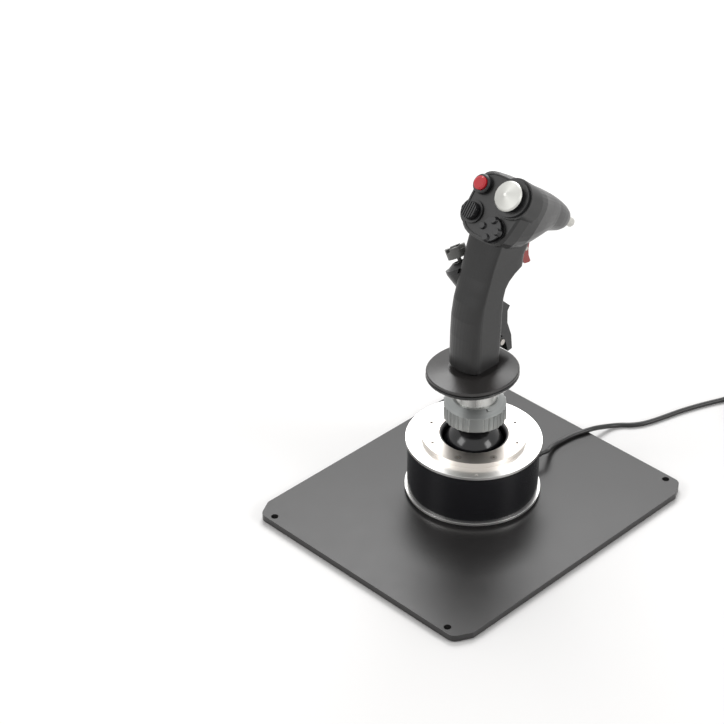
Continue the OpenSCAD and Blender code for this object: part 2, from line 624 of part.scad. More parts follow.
module screw_boss(side) for (p = shell_screw_at)
    translate([0, p[0], p[1]]) rotate([0, side * 90, 0]) cylinder(h = 2 * handle_half_w, r = 3.6);
module side_bored() {
    translate([0, trigger_pivot[0], trigger_pivot[1]]) rotate([0, 90, 0])
        cylinder(h = 2 * (handle_half_w - 1), r = trigger_pin_r + fit, center = true);
    translate([0, paddle_pivot[0], paddle_pivot[1]]) rotate([0, 90, 0])
        cylinder(h = 60, r = paddle_pin_r + fit, center = true);
    for (p = shell_screw_at) translate([-40, p[0], p[1]]) rotate([0, 90, 0])
        cylinder(h = 40 + handle_half_w - 3, r = inner_screw_r + fit);
    for (p = shell_screw_at) translate([-40, p[0], p[1]]) rotate([0, 90, 0])
        cylinder(h = 40 - handle_half_w + screw_sink, r = 2.9);
}

module grip_half(side) difference() {
    union() {
        grip_outside();
        if (side < 0) on_side() translate([0, 0, -24]) cylinder(h = 24, r1 = 6, r2 = side_boss_r);
    }
    difference() {
        grip_inside();
        screw_boss(side);
        translate([side * (trigger_w / 2 + gap), trigger_pivot[0], trigger_pivot[1]]) rotate([0, side * 90, 0])
            cylinder(h = 2 * handle_half_w, r = 4);
    }
    translate([side > 0 ? -100 : 0, -50, 0]) cube([100, 250, 400]);
    side_bored();
    // pocket for the face plate, and the trigger's slot
    into_face() translate([0, 0, -5]) linear_extrude(12) face_shape(shell_wall);
    translate([-trigger_w / 2 - gap, trigger_pivot[0] - 7, trigger_pivot[1] - 27])
        cube([trigger_w + 2 * gap, 30, 31]);
    in_head() translate([0, nose_w - 8, nose_v]) rotate([-90, 0, 0]) cylinder(h = 12, r = nose_button_r + 2.2);
    if (side < 0) on_side() translate([0, 0, -16]) cylinder(h = 20, r = cup_r + seat);
    face_at(red_at) translate([0, 0, -13]) cylinder(h = 20, r = red_r + 1);
    face_at(red_at) translate([0, 0, -face_set - seat]) cylinder(h = 8, r = red_bezel_r + seat);
    for (p = [trim_at, left_at, lower_at]) face_at(p) translate([0, 0, -cup_w1 - seat]) cylinder(h = 20, r = cup_r + seat);
    face_at(left_at) translate([0, 0, -face_set - seat]) cylinder(h = 8, r = left_r + 1.4 + seat);
    face_at(lower_at) translate([0, 0, -face_set - seat]) cylinder(h = 8, r = lower_r - 0.4 + seat);
    translate([0, 0, crown_z - over]) cylinder(h = spigot_z1 - crown_z + over + seat, r = spigot_r + seat);
}
module grip_shell_left() color([0.07, 0.07, 0.07]) on_axis() grip_half(-1);
module grip_shell_right() color([0.09, 0.09, 0.09]) on_axis() grip_half(1);

module face_plate() color([0.1, 0.1, 0.1]) on_axis() difference() {
    union() {
        into_face() translate([0, 0, -face_set - face_t]) linear_extrude(face_t)
            face_shape(shell_wall + seat);
        intersection() {
            face_at(trim_at) translate([0, 0, -face_set - over]) cylinder(h = face_set + over + pad_h, r = trim_pad_r);
            into_face() translate([0, 0, -5]) linear_extrude(10) face_shape(shell_wall + seat);
        }
    }
    for (p = [trim_at, left_at, lower_at]) face_at(p) translate([0, 0, -10]) cylinder(h = 20, r = cup_r + seat);
    face_at(red_at) translate([0, 0, -10]) cylinder(h = 20, r = red_r + 1);
}

module shell_screws() color([0.3, 0.3, 0.3]) on_axis() for (p = shell_screw_at)
    translate([screw_sink - 1 - handle_half_w, p[0], p[1]]) rotate([0, 90, 0]) {
        cylinder(h = 2 * handle_half_w - 6, r = inner_screw_r);
        cylinder(h = 1, r = 2.7);
    }

module grip_board() color([0.05, 0.3, 0.12]) on_axis()
    translate([seat - handle_half_w + shell_wall, grip_board_y, grip_board_z0]) {
        cube([2 * (handle_half_w - shell_wall - seat), board_t, grip_board_h]);
        translate([8, -1.2, 10]) cube([7, 1.2 + fit, 9]);
    }

loom_path = [[0, -3.2, 76], [0, -3, 79.5], [-1, -1.2, 85], [-3, 2, 93.5], [-4.5, 6.5, 102], [-4.8, 11.5, 110],
    [-4, 16, 117.5], [-1.5, 20, 123.5], [2.4, 23.5, 127.9], [5.6, 25, 129.7]];
module grip_loom() color([0.15, 0.15, 0.15]) on_axis() {
    translate([0, grip_board_y + 1.3, flange_z1 + 15]) cylinder(h = grip_board_z0 - flange_z1 - 15, r = 1.9);
    translate([0, 0, crown_z]) tube(loom_path, 3.4, 8, [1, 0, 0]);
}

// ---- thumb hats ----
// Each hat leans on a small ring that turns in a cup: the ring about X, the stalk about Y
module hat_cup(flange_r, flange_h, flange_z0 = -face_set) difference() {
    union() {
        translate([0, 0, -cup_w1]) cylinder(h = cup_w1 + flange_z0, r = cup_r);
        translate([0, 0, flange_z0]) cylinder(h = flange_h - flange_z0, r = flange_r);
    }
    translate([0, 0, -cup_w1 + 1.5]) cylinder(h = cup_w1 + 20, r = cup_in_r);
    translate([0, 0, -hat_pivot_w]) rotate([0, 90, 0]) cylinder(h = 30, r = hat_pin_r + fit, center = true);
}
module hat_rocker() difference() {
    union() {
        translate([0, 0, -hat_pivot_w - hat_ring_h / 2]) cylinder(h = hat_ring_h, r = hat_ring_r);
        translate([0, 0, -hat_pivot_w]) rotate([0, 90, 0])
            cylinder(h = 2 * (cup_r - 0.4), r = hat_pin_r, center = true);
    }
    translate([0, 0, -hat_pivot_w - hat_ring_h]) cylinder(h = 2 * hat_ring_h, r = hat_ring_in_r);
    translate([0, 0, -hat_pivot_w]) rotate([90, 0, 0]) cylinder(h = 20, r = hat_pin_r + fit, center = true);
}
module hat_stalk(top) {
    translate([0, 0, -hat_pivot_w - 2]) cylinder(h = top + hat_pivot_w + 2, r = stalk_r);
    translate([0, 0, -hat_pivot_w]) rotate([90, 0, 0]) cylinder(h = 2 * (hat_ring_r - 0.2), r = hat_pin_r, center = true);
}

trim_h0 = 7.4;
module trim_base() color([0.08, 0.08, 0.08]) on_axis() face_at(trim_at) difference() {
    hat_cup(trim_pad_r - 1.2, 4, pad_h);
    translate([0, 0, 2.2]) cylinder(h = 4, r1 = cup_in_r, r2 = trim_pad_r - 2.6);
}
module left_base() color([0.07, 0.07, 0.08]) on_axis() face_at(left_at) hat_cup(left_r + 1.4, 1.2);
module lower_base() color([0.08, 0.08, 0.08]) on_axis() face_at(lower_at) hat_cup(lower_r - 0.4, 0.6);
module side_base() color([0.03, 0.03, 0.03]) on_axis() difference() {
    union() {
        on_side() translate([0, 0, -cup_w1]) cylinder(h = cup_w1 + 3, r = cup_r);
        difference() {
            on_side() {
                cylinder(h = 3, r = side_boss_r);
                translate([0, 0, 3]) cylinder(h = 3.4, r1 = side_boss_r - 1.5, r2 = cup_r);
            }
            translate([-handle_half_w - seat, -50, crown_z]) cube([50, 100, 150]);
        }
    }
    on_side() translate([0, 0, -cup_w1 + 1.5]) cylinder(h = cup_w1 + 20, r = cup_in_r);
    on_side() translate([0, 0, -hat_pivot_w]) rotate([0, 90, 0]) cylinder(h = 15, r = hat_pin_r + fit, center = true);
}
module trim_rocker() color([0.6, 0.6, 0.6]) on_axis() face_at(trim_at) hat_rocker();
module left_rocker() color([0.6, 0.6, 0.6]) on_axis() face_at(left_at) hat_rocker();
module lower_rocker() color([0.6, 0.6, 0.6]) on_axis() face_at(lower_at) hat_rocker();
module side_rocker() color([0.6, 0.6, 0.6]) on_axis() on_side() hat_rocker();

module trim_hat() color([0.72, 0.72, 0.68]) on_axis() face_at(trim_at) {
    hat_stalk(trim_h0);
    translate([0, 0, trim_h0]) cylinder(h = 1.6, r1 = trim_r - 1.2, r2 = trim_r);
    translate([0, 0, trim_h0 + 1.6]) cylinder(h = 1.2, r1 = trim_r, r2 = trim_r - 1);
    translate([0, 0, trim_h0 + 2.8]) cylinder(h = 3.6, r1 = trim_r - 1, r2 = 1.2);
}
left_h0 = 3.2;
module left_hat() color([0.1, 0.1, 0.1]) on_axis() face_at(left_at) {
    hat_stalk(left_h0);
    difference() {
        translate([0, 0, left_h0]) cylinder(h = 3.2, r1 = left_r - 0.6, r2 = left_r - 1);
        for (i = [-3 : 3]) translate([i * 2 - 0.4, -left_r, left_h0 + 2.4]) cube([0.8, 2 * left_r, 2]);
    }
}
lower_h0 = 3.2;
module lower_hat() color([0.1, 0.1, 0.1]) on_axis() face_at(lower_at) {
    hat_stalk(lower_h0);
    translate([0, 0, lower_h0]) cylinder(h = 1.4, r = lower_r - 1.4);
    around(4, lower_r - 3.4, 0) translate([0, 0, lower_h0]) cylinder(h = 3.6, r1 = 3.4, r2 = 2.2);
}
side_h0 = 10;
side_cap_h = 8;
module side_hat() color([0.36, 0.36, 0.34]) on_axis() on_side() {
    hat_stalk(side_h0);
    difference() {
        translate([0, 0, side_h0]) cylinder(h = side_cap_h, r = side_r);
        for (a = [0, 90]) rotate(a) translate([-2, -2 * side_r, side_h0 + side_cap_h - 2.6])
            cube([4, 4 * side_r, 4]);
    }
}

// ---- buttons ----
red_h = 6.6;
red_in = 3;
module red_bezel() color([0.04, 0.04, 0.05]) on_axis() face_at(red_at) difference() {
    union() {
        translate([0, 0, -12]) cylinder(h = 12, r = red_r + 1 - seat);
        translate([0, 0, -face_set]) cylinder(h = 3.2 + face_set, r = red_bezel_r);
        translate([0, 0, 3.2]) cylinder(h = 0.8, r1 = red_bezel_r, r2 = red_bezel_r - 0.9);
    }
    translate([0, 0, -13]) cylinder(h = 30, r = red_r + seat);
}
module red_button() color([0.75, 0.06, 0.09]) on_axis() face_at(red_at) {
    translate([0, 0, -red_in]) cylinder(h = red_in + red_h - 0.8, r = red_r);
    translate([0, 0, red_h - 0.8]) cylinder(h = 0.8, r1 = red_r, r2 = red_r - 1.4);
}

module at_nose() in_head() translate([0, 0, nose_v]) rotate([-90, 0, 0]) children();
nose_out = 16.2;
module nose_ring() color([0.62, 0.62, 0.6]) on_axis() at_nose() difference() {
    union() {
        translate([0, 0, nose_w - 15]) cylinder(h = 15, r = nose_button_r + 2.2 - seat);
        translate([0, 0, nose_w]) cylinder(h = 3.4, r1 = nose_button_r + 2.6, r2 = nose_button_r + 1.4);
    }
    translate([0, 0, nose_w - 16]) cylinder(h = 30, r = nose_button_r + seat);
}
module nose_button() color([0.8, 0.8, 0.78]) on_axis() at_nose() {
    translate([0, 0, nose_w - 5]) cylinder(h = nose_out + 4.2, r = nose_button_r);
    translate([0, 0, nose_w + nose_out - 0.8]) cylinder(h = 0.8, r1 = nose_button_r, r2 = nose_button_r - 0.8);
}

// ---- levers ----
trigger_outline = [[-6, 2], [-1, 4.2], [9, 2], [13.6, -4], [12.8, -9], [13.4, -15], [15.8, -20.6], [14.4, -21.4],
    [9.4, -20.6], [6.8, -15.5], [3.6, -9], [-5, -4.5]];
module trigger() color([0.6, 0.2, 0.18]) on_axis() difference() {
    translate([-trigger_w / 2, trigger_pivot[0], trigger_pivot[1]]) rotate([90, 0, 90])
        linear_extrude(trigger_w) polygon(trigger_outline);
    translate([0, trigger_pivot[0], trigger_pivot[1]]) rotate([0, 90, 0])
        cylinder(h = 2 * trigger_w, r = trigger_pin_r + fit, center = true);
}

paddle_outline = [[0.6, 30], [5, 32], [12, 25.4], [9.6, 21.6], [10, 11], [15, -2], [16.6, -15], [12, -15.6],
    [9, -6], [3, -3.8], [-1.4, -3.5], [-3.2, -2.2], [-3.7, 0], [-3.2, 2.4],
    [0.6, 8], [1.4, 18]];
module paddle() color([0.3, 0.3, 0.3]) on_axis() difference() {
    translate([-paddle_w / 2, paddle_pivot[0], paddle_pivot[1]]) rotate([90, 0, 90]) linear_extrude(paddle_w)
        polygon(paddle_outline);
    translate([0, paddle_pivot[0], paddle_pivot[1]]) rotate([0, 90, 0])
        cylinder(h = 2 * paddle_w, r = paddle_pin_r + fit, center = true);
}

module lever_pins() color([0.7, 0.7, 0.7]) on_axis() {
    translate([0, trigger_pivot[0], trigger_pivot[1]]) rotate([0, 90, 0])
        cylinder(h = 2 * (handle_half_w - 1.4), r = trigger_pin_r, center = true);
    translate([0, paddle_pivot[0], paddle_pivot[1]]) rotate([0, 90, 0]) {
        cylinder(h = paddle_w + 2 * (gap + ear_t), r = paddle_pin_r, center = true);
        for (s = [-1, 1]) translate([0, 0, s * (paddle_w / 2 + gap + ear_t + 0.6)])
            cylinder(h = 1.2, r = 2.4, center = true);
    }
}

module switches() color([0.2, 0.2, 0.22]) on_axis() {
    face_at(red_at) translate([0, 0, -11.8]) cylinder(h = 11.8 - red_in - red_travel - gap, r = red_r);
    at_nose() translate([0, 0, nose_w - 14]) cylinder(h = 14 - 5 - nose_travel - gap, r = nose_button_r);
}

// ---- cord ----
module cable_gland() color([0.05, 0.05, 0.05]) at_gland() {
    translate([0, 0, can_in_r - 2]) cylinder(h = 1.6, r = gland_r + 2);
    translate([0, 0, can_in_r - 1]) cylinder(h = can_wall + 2, r = gland_r);
    translate([0, 0, can_r + 0.2]) cylinder(h = 2, r = gland_r + 1.6);
    translate([0, 0, can_r + 2]) cylinder(h = gland_l - 2, r1 = gland_r + 0.4, r2 = cord_d / 2 + 0.5);
}

cord_sides = 8;
// The layer climbs in the half turn where the spiral reverses
function coil_point(turn) = let (out = turn - coil_layer_turns - 0.5, in = turn - coil_layer_turns,
        r = in < 0 ? coil_r - coil_pitch * turn
            : out < 0 ? coil_in_r - coil_pitch * min(in, -out) : coil_in_r + coil_pitch * out,
        z = coil_z + coil_pitch * min(1, max(0, 2 * in)),
        a = coil_start - 360 * turn)
    [coil_at.x + r * cos(a), coil_at.y + r * sin(a), z];
coil_turns = 2 * coil_layer_turns + 0.5;
coil_steps = 24;
coil_path = [for (i = [0 : coil_turns * coil_steps]) coil_point(i / coil_steps)];
coil_first = coil_path[0];
coil_last = coil_path[len(coil_path) - 1];
gland_end = [axis_x + (can_r + gland_l) * cos(gland_angle), axis_y + (can_r + gland_l) * sin(gland_angle), gland_z];
module cord() color([0.06, 0.06, 0.06]) {
    tube(concat([gland_end, gland_end + cord_d * [cos(gland_angle), sin(gland_angle), 0]],
        route,
        [coil_first - cord_d * unit(coil_path[1] - coil_first), coil_first]), cord_d, cord_sides);
    tube(concat([coil_last, coil_last + cord_d * unit(coil_last - coil_path[len(coil_path) - 2])], tail),
        cord_d, cord_sides);
}
module cord_coil() color([0.06, 0.06, 0.06]) tube(coil_path, cord_d, 6);

tie_angle = 250;
tie_t = 0.5;
module coil_tie() color([0.1, 0.1, 0.1]) translate([coil_at.x, coil_at.y, 0]) rotate(tie_angle)
    translate([coil_in_r - cord_d / 2 - 0.3 - tie_t, -4, 0.05]) difference() {
        cube([coil_r - coil_in_r + cord_d + 2 * (0.3 + tie_t), 8, coil_z + coil_pitch + cord_d / 2 + 0.3 + tie_t]);
        translate([tie_t, -over, tie_t]) cube([coil_r - coil_in_r + cord_d + 0.6, 10, coil_z + coil_pitch + cord_d / 2 - 0.25]);
    }

plug_at = tail[len(tail) - 1];
module usb_plug() translate(plug_at) rotate([90, 0, 0]) {
    color([0.05, 0.05, 0.05]) cylinder(h = 7, r1 = cord_d / 2 + 0.6, r2 = 3.4);
    color([0.05, 0.05, 0.05]) translate([-7.6, -4.1, 6.5]) cube([15.2, 8.2, 19]);
    color([0.75, 0.75, 0.76]) translate([-6, -2.25, 25]) cube([12, 4.5, 12.5]);
}

base_plate();
rubber_feet();
plate_screws();
base_gasket();
ledge_floor();
base_can();
top_ring();
top_disc();
top_screws();
opening_bezel();
gimbal_frame();
frame_bushes();
centring_spring();
spring_cup();
sensor_board();
main_board();
inner_screws();
cable_gland();
cord();
cord_coil();
coil_tie();
usb_plug();
gimbal_ring();
stick_shaft();
roll_pin();
sensor_magnet();
dust_dome();
connector_socket();
connector_plug();
ferrule();
hand_rest_lip();
hand_rest_plate();
grip_shell_left();
grip_shell_right();
face_plate();
shell_screws();
grip_board();
grip_loom();
trim_base();
left_base();
lower_base();
side_base();
red_bezel();
nose_ring();
switches();
lever_pins();
locking_collar();
trigger();
red_button();
nose_button();
paddle();
trim_rocker();
trim_hat();
left_rocker();
left_hat();
lower_rocker();
lower_hat();
side_rocker();
side_hat();
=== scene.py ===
import math

import bmesh
import bpy
from mathutils import Matrix, Vector


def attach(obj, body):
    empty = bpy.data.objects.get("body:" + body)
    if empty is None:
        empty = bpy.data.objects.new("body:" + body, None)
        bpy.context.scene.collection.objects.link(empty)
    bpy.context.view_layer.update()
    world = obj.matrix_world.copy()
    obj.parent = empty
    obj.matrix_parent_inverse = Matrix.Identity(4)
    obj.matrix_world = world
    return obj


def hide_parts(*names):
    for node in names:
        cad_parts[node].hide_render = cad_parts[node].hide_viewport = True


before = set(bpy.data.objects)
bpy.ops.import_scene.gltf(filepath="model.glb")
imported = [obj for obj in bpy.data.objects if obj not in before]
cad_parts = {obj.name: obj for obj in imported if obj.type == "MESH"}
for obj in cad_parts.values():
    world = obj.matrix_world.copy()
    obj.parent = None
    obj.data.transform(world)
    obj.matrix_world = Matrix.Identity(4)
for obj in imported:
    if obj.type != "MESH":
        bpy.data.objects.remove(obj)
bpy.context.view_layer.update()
mm = 0.001
axisX, axisY = -9.5, 9.8

# ---------- the lens and the room ----------
cameraSet = {
    "place": (0.8869, -1.0050, 1.0291),
    "right": (0.70569, 0.70852, 0.0),
    "up": (-0.39414, 0.39257, 0.83099),
    "back": (0.58877, -0.58642, 0.55629),
    "lens": 107.16,
}
roomSet = {
    "floorSize": 9.0,
    "floorColor": (0.93, 0.925, 0.92, 1),
    "worldColor": (1.0, 0.995, 0.99, 1),
    "fill": 0.42,
    "lamps": [  # name, place, aimed at, size, watts
        ("keyLamp", (-0.9, 1.0, 1.9), (0, 0, 0.1), 1.3, 34),
        ("frontLamp", (-0.6, -1.5, 1.2), (0, 0, 0.15), 0.8, 10),
        ("rightLamp", (1.6, 0.5, 0.9), (0, 0, 0.15), 0.7, 9),
    ],
}


def makeCamera(s):
    cam = bpy.data.objects.new("photoCamera", bpy.data.cameras.new("photoCamera"))
    cam.data.lens = s["lens"]
    cam.data.sensor_width = 36
    cam.data.clip_start = 0.05
    turn = Matrix((s["right"], s["up"], s["back"])).transposed()
    cam.matrix_world = Matrix.Translation(s["place"]) @ turn.to_4x4()
    bpy.context.collection.objects.link(cam)
    bpy.context.scene.camera = cam


def makeRoom(s):
    size = s["floorSize"]
    mesh = bpy.data.meshes.new("floor")
    mesh.from_pydata([(-size, -size, 0), (size, -size, 0), (size, size, 0), (-size, size, 0)], [], [(0, 1,
        2, 3)])
    floor = bpy.data.objects.new("floor", mesh)
    bpy.context.collection.objects.link(floor)
    mat = bpy.data.materials.new("floorWhite")
    mat.use_nodes = True
    mat.node_tree.nodes["Principled BSDF"].inputs["Base Color"].default_value = s["floorColor"]
    mat.node_tree.nodes["Principled BSDF"].inputs["Roughness"].default_value = 0.9
    mat.node_tree.nodes["Principled BSDF"].inputs["Specular IOR Level"].default_value = 0.1
    mesh.materials.append(mat)

    world = bpy.data.worlds.new("studio")
    bpy.context.scene.world = world
    world.use_nodes = True
    nodes, links = world.node_tree.nodes, world.node_tree.links
    nodes.clear()
    out = nodes.new("ShaderNodeOutputWorld")
    path = nodes.new("ShaderNodeLightPath")
    seen = nodes.new("ShaderNodeMath")
    seen.operation = "MAXIMUM"
    links.new(path.outputs["Is Camera Ray"], seen.inputs[0])
    links.new(path.outputs["Is Transmission Ray"], seen.inputs[1])
    seenToo = nodes.new("ShaderNodeMath")
    seenToo.operation = "MAXIMUM"
    links.new(seen.outputs[0], seenToo.inputs[0])
    links.new(path.outputs["Is Glossy Ray"], seenToo.inputs[1])
    fill, bright, mix = nodes.new("ShaderNodeBackground"), nodes.new("ShaderNodeBackground"), nodes.new("ShaderNodeMixShader")
    fill.inputs["Color"].default_value = s["worldColor"]
    fill.inputs["Strength"].default_value = s["fill"]
    bright.inputs["Color"].default_value = (1, 1, 1, 1)
    links.new(seenToo.outputs[0], mix.inputs[0])
    links.new(fill.outputs[0], mix.inputs[1])
    links.new(bright.outputs[0], mix.inputs[2])
    links.new(mix.outputs[0], out.inputs["Surface"])

    for name, place, aim, width, watts in s["lamps"]:
        lamp = bpy.data.objects.new(name, bpy.data.lights.new(name, "AREA"))
        lamp.data.size = width
        lamp.data.energy = watts
        lamp.location = place
        lamp.rotation_euler = (Vector(aim) - Vector(place)).to_track_quat("-Z", "Y").to_euler()
        bpy.context.collection.objects.link(lamp)
    bpy.context.scene.view_settings.view_transform = "Standard"


makeCamera(cameraSet)
makeRoom(roomSet)
print("room and camera are set")
# ---------- shared shader groups ----------
def newGroup(name, inputs, outputs):
    group = bpy.data.node_groups.new(name, "ShaderNodeTree")
    for label, kind, value in inputs:
        socket = group.interface.new_socket(label, in_out="INPUT", socket_type=kind)
        socket.default_value = value
    for label, kind in outputs:
        group.interface.new_socket(label, in_out="OUTPUT", socket_type=kind)
    return group, group.nodes.new("NodeGroupInput"), group.nodes.new("NodeGroupOutput")


def addMath(group, kind, a, b=None, c=None):
    node = group.nodes.new("ShaderNodeMath")
    node.operation = kind
    for i, value in enumerate((a, b, c)):
        if value is None:
            continue
        if isinstance(value, (int, float)):
            node.inputs[i].default_value = value
        else:
            group.links.new(value, node.inputs[i])
    return node.outputs[0]


def addNoise(group, vector, scale, detail=3.0, rough=0.55):
    node = group.nodes.new("ShaderNodeTexNoise")
    for label, value in (("Vector", vector), ("Scale", scale), ("Detail", detail), ("Roughness", rough)):
        if isinstance(value, (int, float)):
            node.inputs[label].default_value = value
        else:
            group.links.new(value, node.inputs[label])
    return node.outputs["Fac"]


def objectPoint(group):
    return group.nodes.new("ShaderNodeTexCoord").outputs["Object"]


def makeGrainGroup():
    # powder coat or moulded grain: a fine height and a roughness that wanders a little
    group, inp, out = newGroup(
        "fineGrain",
        [("Grain Size mm", "NodeSocketFloat", 0.6), ("Roughness", "NodeSocketFloat", 0.4), ("Spread",
            "NodeSocketFloat", 0.1), ("Smudge", "NodeSocketFloat", 0.06)],
        [("Roughness", "NodeSocketFloat"), ("Height", "NodeSocketFloat"), ("Mask", "NodeSocketFloat")],
    )
    point = objectPoint(group)
    fine = addNoise(group, point, addMath(group, "DIVIDE", 1000.0, inp.outputs[0]), 2.0, 0.6)
    wide = addNoise(group, point, 55.0, 3.0, 0.5)
    spread = addMath(group, "MULTIPLY_ADD", addMath(group, "SUBTRACT", fine, 0.5), inp.outputs[2],
        inp.outputs[1])
    rough = addMath(group, "MULTIPLY_ADD", addMath(group, "SUBTRACT", wide, 0.5), inp.outputs[3], spread)
    group.links.new(rough, out.inputs[0])
    group.links.new(fine, out.inputs[1])
    group.links.new(wide, out.inputs[2])
    return group


def makeTurnedGroup():
    # rings left by a lathe round a vertical axis
    group, inp, out = newGroup(
        "turnedLines",
        [("Axis", "NodeSocketVector", (0, 0, 0)), ("Pitch mm", "NodeSocketFloat", 0.25), ("Roughness",
            "NodeSocketFloat", 0.3), ("Spread", "NodeSocketFloat", 0.12)],
        [("Roughness", "NodeSocketFloat"), ("Height", "NodeSocketFloat"), ("Tone", "NodeSocketFloat")],
    )
    away = group.nodes.new("ShaderNodeVectorMath")
    away.operation = "SUBTRACT"
    group.links.new(objectPoint(group), away.inputs[0])
    group.links.new(inp.outputs[0], away.inputs[1])
    parts = group.nodes.new("ShaderNodeSeparateXYZ")
    group.links.new(away.outputs[0], parts.inputs[0])
    x, y = parts.outputs[0], parts.outputs[1]
    radius = addMath(group, "SQRT", addMath(group, "ADD", addMath(group, "MULTIPLY", x, x), addMath(group,
        "MULTIPLY", y, y)))
    angle = addMath(group, "ARCTAN2", y, x)
    both = group.nodes.new("ShaderNodeCombineXYZ")
    group.links.new(addMath(group, "DIVIDE", addMath(group, "MULTIPLY", radius, 1000.0), inp.outputs[1]),
        both.inputs[0])
    group.links.new(addMath(group, "MULTIPLY", addMath(group, "COSINE", angle), 1.2), both.inputs[1])
    group.links.new(addMath(group, "MULTIPLY", addMath(group, "SINE", angle), 1.2), both.inputs[2])
    lines = addNoise(group, both.outputs[0], 1.0, 4.0, 0.7)
    rough = addMath(group, "MULTIPLY_ADD", addMath(group, "SUBTRACT", lines, 0.5), inp.outputs[3],
        inp.outputs[2])
    tone = addNoise(group, both.outputs[0], 0.35, 2.0, 0.5)
    group.links.new(rough, out.inputs[0])
    group.links.new(lines, out.inputs[1])
    group.links.new(tone, out.inputs[2])
    return group


def makeWearGroup():
    # a mask that is bright along sharp edges, broken up by noise
    group, inp, out = newGroup(
        "edgeWear",
        [("Radius mm", "NodeSocketFloat", 0.5), ("Amount", "NodeSocketFloat", 0.6)],
        [("Mask", "NodeSocketFloat")],
    )
    bevel = group.nodes.new("ShaderNodeBevel")
    bevel.samples = 4
    group.links.new(addMath(group, "MULTIPLY", inp.outputs[0], 0.001), bevel.inputs["Radius"])
    plain = group.nodes.new("ShaderNodeNewGeometry")
    dot = group.nodes.new("ShaderNodeVectorMath")
    dot.operation = "DOT_PRODUCT"
    group.links.new(bevel.outputs[0], dot.inputs[0])
    group.links.new(plain.outputs["True Normal"], dot.inputs[1])
    edge = addMath(group, "MINIMUM", addMath(group, "MULTIPLY", addMath(group, "SUBTRACT", 1.0,
        dot.outputs["Value"]), 5.0), 1.0)
    broken = addNoise(group, objectPoint(group), 900.0, 3.0, 0.6)
    mask = addMath(group, "MULTIPLY", addMath(group, "MULTIPLY", edge, broken), inp.outputs[1])
    group.links.new(mask, out.inputs[0])
    return group


grainGroup, turnedGroup, wearGroup = makeGrainGroup(), makeTurnedGroup(), makeWearGroup()


# ---------- materials ----------
def placeGroup(mat, group, values):
    node = mat.node_tree.nodes.new("ShaderNodeGroup")
    node.node_tree = group
    for label, value in values.items():
        node.inputs[label].default_value = value
    return node


def makeFinish(name, s):
    mat = bpy.data.materials.new(name)
    mat.use_nodes = True
    nodes, links = mat.node_tree.nodes, mat.node_tree.links
    skin = nodes["Principled BSDF"]
    skin.inputs["Metallic"].default_value = s.get("metallic", 0.0)
    skin.inputs["IOR"].default_value = s.get("ior", 1.5)
    skin.inputs["Specular IOR Level"].default_value = s.get("specular", 0.5)
    skin.inputs["Coat Weight"].default_value = s.get("coat", 0.0)
    skin.inputs["Coat Roughness"].default_value = s.get("coatRough", 0.08)
    if s.get("turned"):
        base = placeGroup(mat, turnedGroup, {"Axis": (axisX * mm, axisY * mm, 0), "Pitch mm": s["turned"],
            "Roughness": s["rough"], "Spread": s.get("spread", 0.12)})
        toneOut = base.outputs["Tone"]
    else:
        base = placeGroup(mat, grainGroup, {"Grain Size mm": s.get("grain", 0.5), "Roughness": s["rough"],
            "Spread": s.get("spread", 0.08), "Smudge": s.get("smudge", 0.06)})
        toneOut = base.outputs["Mask"]
    links.new(base.outputs["Roughness"], skin.inputs["Roughness"])
    tone = nodes.new("ShaderNodeMix")
    tone.data_type = "RGBA"
    swing = s.get("swing", 0.12)
    tone.inputs["A"].default_value = tuple(c * (1 - swing) for c in s["color"]) + (1,)
    tone.inputs["B"].default_value = tuple(min(1, c * (1 + swing)) for c in s["color"]) + (1,)
    links.new(toneOut, tone.inputs["Factor"])
    last = tone.outputs["Result"]
    if s.get("wear"):
        wear = placeGroup(mat, wearGroup, {"Radius mm": s.get("wearRadius", 0.5), "Amount": s["wear"]})
        worn = nodes.new("ShaderNodeMix")
        worn.data_type = "RGBA"
        links.new(wear.outputs["Mask"], worn.inputs["Factor"])
        links.new(last, worn.inputs["A"])
        worn.inputs["B"].default_value = s.get("wornColor", (0.35, 0.34, 0.33)) + (1,)
        last = worn.outputs["Result"]
    links.new(last, skin.inputs["Base Color"])
    bump = nodes.new("ShaderNodeBump")
    bump.inputs["Strength"].default_value = s.get("bump", 0.15)
    bump.inputs["Distance"].default_value = s.get("depth", 0.05) * mm
    links.new(base.outputs["Height"], bump.inputs["Height"])
    if s.get("round"):
        edge = nodes.new("ShaderNodeBevel")
        edge.samples = 6
        edge.inputs["Radius"].default_value = s["round"] * mm
        links.new(edge.outputs[0], bump.inputs["Normal"])
    links.new(bump.outputs[0], skin.inputs["Normal"])
    return mat


